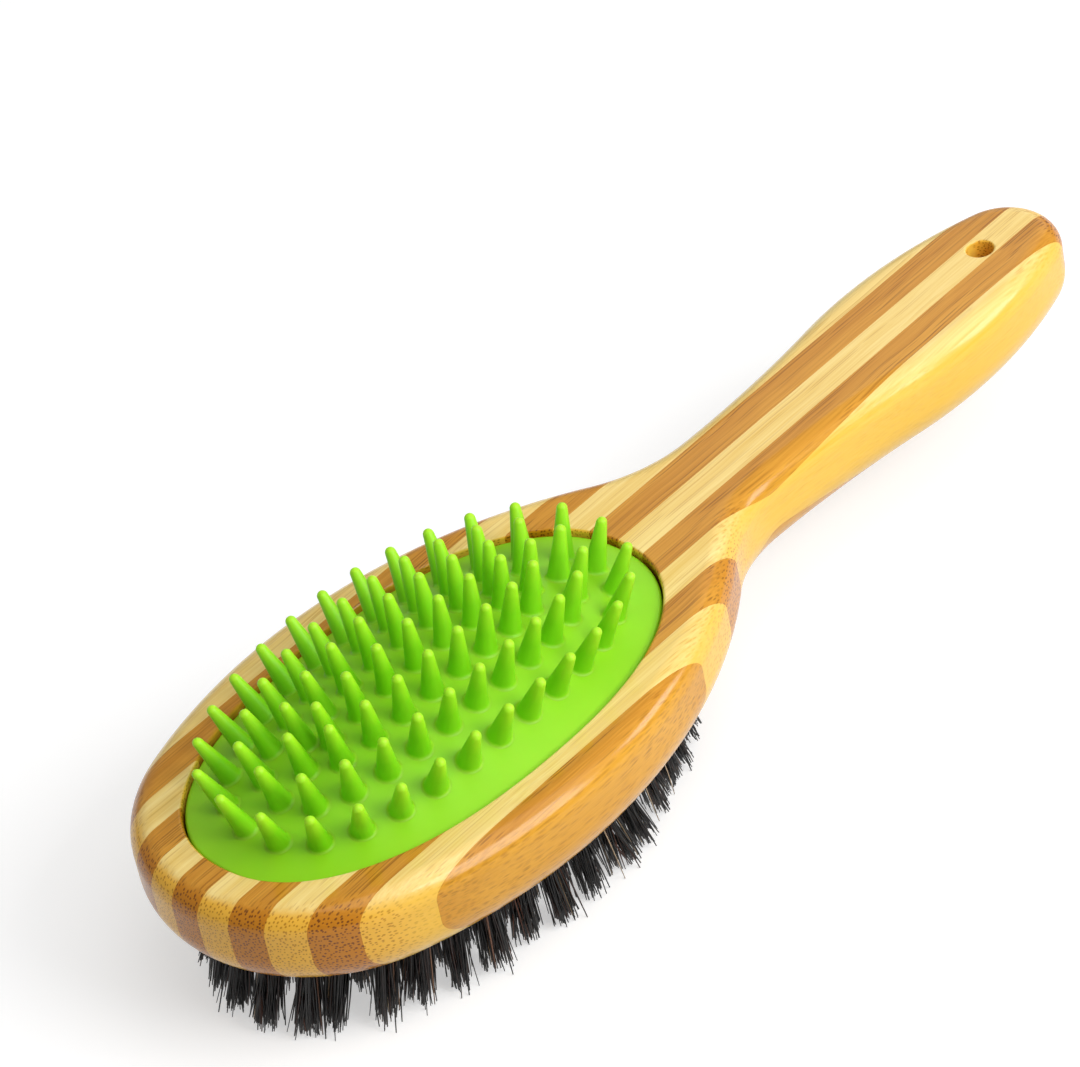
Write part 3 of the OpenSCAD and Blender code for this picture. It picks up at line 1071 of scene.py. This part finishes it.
    def pin_field(self) -> tuple[Array, list[list[int]], Array]:
        """All the pins: one profile turned about the crown's normal at each place.

        A point is the surface under it plus its height along the normal, so that each foot is
        laid on the surface.

        Returns:
            Points in millimetres, faces, and the share of the way to the tip at each point.
        """
        sides = self.pin_sides
        foot, up = self.surface(self.pin_places())
        aside = np.cross(up, [0.0, 1.0, 0.0])
        aside /= np.linalg.norm(aside, axis=1, keepdims=True)
        third = np.cross(up, aside)
        radius, height = self.pin_profile()
        turn = angles(sides)
        around = np.cos(turn)[:, None] * aside[:, None] + np.sin(turn)[:, None] * third[:, None]
        plan = foot[:, None, None, :2] + radius[None, :, None, None] * around[:, None, :, :2]
        ground, _ = self.surface(plan)
        rings = ground + height[None, :, None, None] * up[:, None, None]
        tips = foot + self.pin_l * up
        heels = foot - self.heel_sunk * up
        points = np.concatenate([rings.reshape(-1, 3), tips, heels])
        points[:, 0] += self.body.outline.head_x

        count, rows = len(foot), len(radius)
        size = rows * sides
        start = np.arange(count) * size
        pole = count * size + np.arange(count)
        walls = repeated(grid_faces(rows, sides), count, size)
        caps = np.concatenate([
            fans(start + size - sides, pole, sides, True),
            fans(start, pole + count, sides, False)])
        share = np.concatenate([
            np.broadcast_to((height / self.pin_l)[None, :, None], (count, rows, sides)).ravel(),
            np.ones(count), np.zeros(count)])
        return points, walls.tolist() + caps.tolist(), np.clip(share, 0, 1)

    def build(self) -> list[bpy.types.Object]:
        """Builds and dresses the pad and its pins.

        Returns:
            The pad's skin and its pins.
        """
        material = self.finish.material()
        points, faces = self.skin()
        skin = mesh_piece("massage_pad_skin", points * MM, faces, material)
        pin_points, pin_faces, share = self.pin_field()
        pins = mesh_piece("massage_pad_pins", pin_points * MM, pin_faces, material)
        for piece, values in ((skin, np.zeros(len(points))), (pins, share)):
            tip_share = piece.data.attributes.new("tip_share", "FLOAT", "POINT")
            tip_share.data.foreach_set("value", values)
            finish_piece(piece, "lime_silicone", "massage_pad")
        return [skin, pins]


@dataclass
class BristleBed:
    """Tufts of loose hairs set in ovals under the head, from the outermost in to a centre row.

    Sizes in millimetres.
    """

    body: BambooBody
    slice_inset: float = 1.0
    slice_full: float = 2.1
    tuft_margin: float = 2.2
    tuft_row: float = 6.4
    tufts: tuple[int, int, int, int, int] = (36, 30, 24, 17, 7)
    phases: tuple[float, float, float, float] = (0.5, 0.0, 0.5, 0.0)
    leans: tuple[float, float, float, float, float] = (3.2, 1.7, 0.7, 0.2, 0.0)
    hairs: tuple[int, int, int, int, int] = (100, 90, 70, 70, 70)
    root_r: float = 2.1
    root_sunk: float = 0.6
    spread_kept: float = 0.8
    clumps: int = 5
    clump_r: float = 2.0
    clump_least: float = 0.1
    nose_lean: float = 1.9
    scatter: float = 0.3
    stray_share: float = 0.07
    stray_scatter: float = 1.0
    stray_drop: float = 1.4
    bow: float = 0.22
    tip_z: float = 1.7
    tip_range: tuple[float, float] = (0.02, 4.5)
    ragged: float = 0.9
    uneven: float = 0.35
    hair_d: float = 0.4
    girths: tuple[float, float] = (0.75, 1.2)
    taper: float = 0.45
    hair_rows: int = 5
    hair_sides: int = 3
    seed: int = 20
    finish: BristleFinish = field(default_factory=BristleFinish)

    def places(self, ring: int) -> Array:
        """Places of one ring's tufts.

        Args:
            ring: Which ring, from the outermost oval (0) to the centre row, which is the last.

        Returns:
            The places in plan, measured from the pad's middle.
        """
        outline = self.body.outline
        half = np.array([outline.tip_len, outline.head_w / 2])
        half = half - self.body.low_round - self.slice_inset
        inset = self.tuft_margin + ring * self.tuft_row
        if ring == len(self.phases):
            return row_walk(half[0] - inset, self.tufts[ring])
        return oval_walk(*(half - inset), self.slice_full, self.tufts[ring], self.phases[ring])

    def hair_lines(self, ring: int, rng: np.random.Generator) -> tuple[Array, Array, Array]:
        """Ends and bows of one ring's hairs.

        The roots fill a disc. The tips gather in a few clumps, lean outward, most of all at the
        nose of the head, and end unevenly, and a few stray further.

        Args:
            ring: Which ring.
            rng: Source of the random numbers.

        Returns:
            Root, tip and sideways bow of each hair.
        """
        hairs = self.hairs[ring]
        tufts = self.places(ring)
        tufts = tufts + rng.normal(0, self.uneven, tufts.shape)
        count = len(tufts) * hairs
        centre = np.repeat(tufts, hairs, axis=0)
        turn = rng.uniform(0, 2 * np.pi, count)
        reach = self.root_r * np.sqrt(rng.uniform(0, 1, count))
        spread = rays(turn) * reach[:, None]
        stray = rng.uniform(0, 1, count) < self.stray_share
        loose = np.where(stray, self.stray_scatter, self.scatter)
        loose = rng.normal(0, 1, (count, 2)) * loose[:, None]
        crowd = (len(tufts), self.clumps)
        clump_turn = rng.uniform(0, 2 * np.pi, crowd)
        clump_reach = self.clump_r * np.sqrt(rng.uniform(self.clump_least, 1, crowd))
        clump = rays(clump_turn) * clump_reach[..., None]
        owner = np.repeat(np.arange(len(tufts)), hairs)
        gathered = clump[owner, rng.integers(0, self.clumps, count)]
        outward = centre / np.maximum(np.linalg.norm(centre, axis=1, keepdims=True), TINY)
        lean = self.leans[ring] * outward
        nose = self.nose_lean * self.leans[ring] / self.leans[0]
        lean[:, 0] += np.minimum(outward[:, 0], 0) * nose
        tip_xy = centre + self.spread_kept * spread + gathered + lean + loose
        uneven = np.repeat(rng.normal(0, self.uneven, len(tufts)), hairs)
        tip_z = self.tip_z + uneven + rng.normal(0, self.ragged, count)
        tip_z = np.clip(tip_z - np.where(stray, self.stray_drop, 0.0), *self.tip_range)
        root_z = np.full(count, self.body.under_z + self.root_sunk)
        bow = np.column_stack([rng.normal(0, self.bow, (count, 2)), np.zeros(count)])
        return (
            np.column_stack([centre + spread, root_z]), np.column_stack([tip_xy, tip_z]), bow)

    def hair_field(self, ring: int) -> tuple[Array, list[list[int]], Array]:
        """All the hairs of one ring as three-sided tapered tubes.

        A hair's middle line is root + t * (tip - root) + bow * sin(pi * t), and its radius falls
        with the square of t.

        Args:
            ring: Which ring, from the outermost oval (0) to the centre row.

        Returns:
            Points in millimetres, faces, and one tone for each point.
        """
        rng = np.random.default_rng(self.seed + ring)
        root, tip, bow = self.hair_lines(ring, rng)
        count, rows, sides = len(root), self.hair_rows, self.hair_sides
        share = np.linspace(0, 1, rows)
        middle = (
            root[:, None] + share[None, :, None] * (tip - root)[:, None]
            + np.sin(np.pi * share)[None, :, None] * bow[:, None])
        girth = self.hair_d / 2 * rng.uniform(*self.girths, count)
        radius = girth[:, None] * (1 - self.taper * share ** 2)[None]
        corner = rng.uniform(0, 2 * np.pi, count)[:, None] + angles(sides)
        around = np.stack([np.cos(corner), np.sin(corner), np.zeros_like(corner)], -1)
        rings = middle[:, :, None] + radius[..., None, None] * around[:, None]
        points = rings.reshape(-1, 3)
        points[:, 0] += self.body.outline.head_x
        tone = np.repeat(rng.uniform(0, 1, count), rows * sides)

        size = rows * sides
        walls = repeated(grid_faces(rows, sides)[:, ::-1], count, size)
        ends = np.arange(sides)[None]
        caps = np.concatenate([
            repeated(ends, count, size), repeated(size - sides + ends[:, ::-1], count, size)])
        return points, walls.tolist() + caps.tolist(), tone

    def build(self) -> list[bpy.types.Object]:
        """Builds and dresses the five groups of tufts.

        Returns:
            The groups, from the outermost oval to the centre row.
        """
        material = self.finish.material()
        nodes = [f"bristle_ring_{k + 1}" for k in range(len(self.phases))] + ["bristle_row"]
        pieces = []
        for ring, node in enumerate(nodes):
            points, faces, tone = self.hair_field(ring)
            piece = mesh_piece(f"{node}_hairs", points * MM, faces, material)
            hair_tone = piece.data.attributes.new("hair_tone", "FLOAT", "POINT")
            hair_tone.data.foreach_set("value", tone)
            finish_piece(piece, "black_bristle", node)
            pieces.append(piece)
        return pieces


@dataclass(frozen=True)
class Lamp:
    """A square soft lamp that looks at the aim. Sizes in metres, power in watts."""

    name: str
    toward: tuple[float, float, float]
    distance: float
    size: float
    watts: float

    def build(self, aim: Vector) -> None:
        """Adds the lamp.

        Args:
            aim: Point that the lamp looks at.
        """
        data = bpy.data.lights.new(self.name, "AREA")
        data.shape = "SQUARE"
        data.size = self.size
        data.energy = self.watts
        way = Vector(self.toward).normalized()
        turn = way.to_track_quat("Z", "Y").to_matrix().to_4x4()
        placed(self.name, data).matrix_world = (
            Matrix.Translation(aim + way * self.distance) @ turn)


@dataclass
class Studio:
    """Pale floor, soft lamps and the camera at the photograph's angle.

    Sizes in metres, angles in degrees. The camera's distance and turns were fitted to the
    outline of the brush in the photograph.
    """

    aim: Vector
    image: tuple[int, int] = (1080, 1067)
    aim_pixel: tuple[float, float] = (426.8, 699.7)
    heading: float = 39.6
    elevation: float = 37.3
    roll: float = 12.1
    distance: float = 0.904
    pixels_per_metre: float = 5893.0
    sensor_mm: float = 36.0
    floor_half: float = 3.0
    floor_grey: str = "#CFCFCF"
    floor_roughness: float = 0.9
    floor_glow: float = 0.5
    surround: float = 0.35
    lamps: tuple[Lamp, ...] = (
        Lamp("key", (0.25, -0.85, 0.6), 0.8, 0.45, 4.2),
        Lamp("glint", (0.74, -0.55, 0.4), 0.8, 0.22, 1.1),
        Lamp("top", (0.1, -0.35, 1.0), 1.0, 0.9, 3.6),
        Lamp("back", (0.9, 0.45, 0.5), 1.0, 0.6, 0.8),
    )

    def camera(self) -> None:
        """Sets the camera by its turns and its distance, with the aim at its pixel."""
        turn, rise, roll = (math.radians(v) for v in (self.heading, self.elevation, self.roll))
        tilt = Matrix((
            (1, 0, 0),
            (0, math.sin(rise), math.cos(rise)),
            (0, -math.cos(rise), math.sin(rise))))
        axes = Matrix.Rotation(roll, 3, "Z") @ tilt @ Matrix.Rotation(turn, 3, "Z")
        aside = (self.aim_pixel[0] - self.image[0] / 2) / self.pixels_per_metre
        below = (self.aim_pixel[1] - self.image[1] / 2) / self.pixels_per_metre
        eye = self.aim + axes.transposed() @ Vector((-aside, below, self.distance))
        data = bpy.data.cameras.new("camera")
        data.sensor_fit = "HORIZONTAL"
        data.sensor_width = self.sensor_mm
        data.lens = self.pixels_per_metre * self.distance / self.image[0] * self.sensor_mm
        camera = placed("camera", data)
        camera.matrix_world = Matrix.Translation(eye) @ axes.transposed().to_4x4()
        bpy.context.scene.camera = camera

    def floor(self) -> None:
        """Adds the pale floor under the bristle tips, a matt white board.

        It glows only as seen by the camera, or in gloss and glass, so that it looks white and
        still takes the brush's shadow.
        """
        material, tree, shader = new_material("matt_white_board")
        ray = add_node(tree, "LightPath").outputs
        direct = add_node(tree, "Math", {
            0: ray["Is Camera Ray"], 1: ray["Is Glossy Ray"]}, operation="MAXIMUM")
        seen = add_node(tree, "Math", {
            0: direct, 1: ray["Is Transmission Ray"]}, operation="MAXIMUM")
        glow = add_node(tree, "Math", {0: seen, 1: self.floor_glow}, operation="MULTIPLY")
        feed(tree, shader, {
            "Base Color": linear(self.floor_grey), "Roughness": self.floor_roughness,
            "Specular IOR Level": 0.0, "Emission Color": WHITE, "Emission Strength": glow})
        corners = np.array([[-1, -1, 0], [1, -1, 0], [1, 1, 0], [-1, 1, 0]])
        floor = mesh_piece("floor", self.floor_half * corners, [[0, 1, 2, 3]], material)

    def world(self) -> None:
        """Sets an even white surround."""
        world = bpy.data.worlds.new("white_surround")
        world.use_nodes = True
        tree = world.node_tree
        feed(tree, tree.nodes["Background"], {"Color": WHITE, "Strength": self.surround})
        bpy.context.scene.world = world

    def build(self) -> None:
        """Sets up the whole studio."""
        self.camera()
        self.floor()
        self.world()
        for lamp in self.lamps:
            lamp.build(self.aim)
        bpy.context.scene.view_settings.view_transform = "Standard"


def main() -> None:
    """Builds the brush and its studio in order."""
    logging.basicConfig(level=logging.INFO, format="%(name)s: %(message)s")
    outline = Outline()
    body = BambooBody(outline)
    body.build()
    MassagePad(body).build()
    BristleBed(body).build()
    aside = -0.4  # millimetres from the brush's axis to the camera's aim
    Studio(Vector((outline.head_x, aside, body.top_z)) * MM).build()


if __name__ == "__main__":
    main()
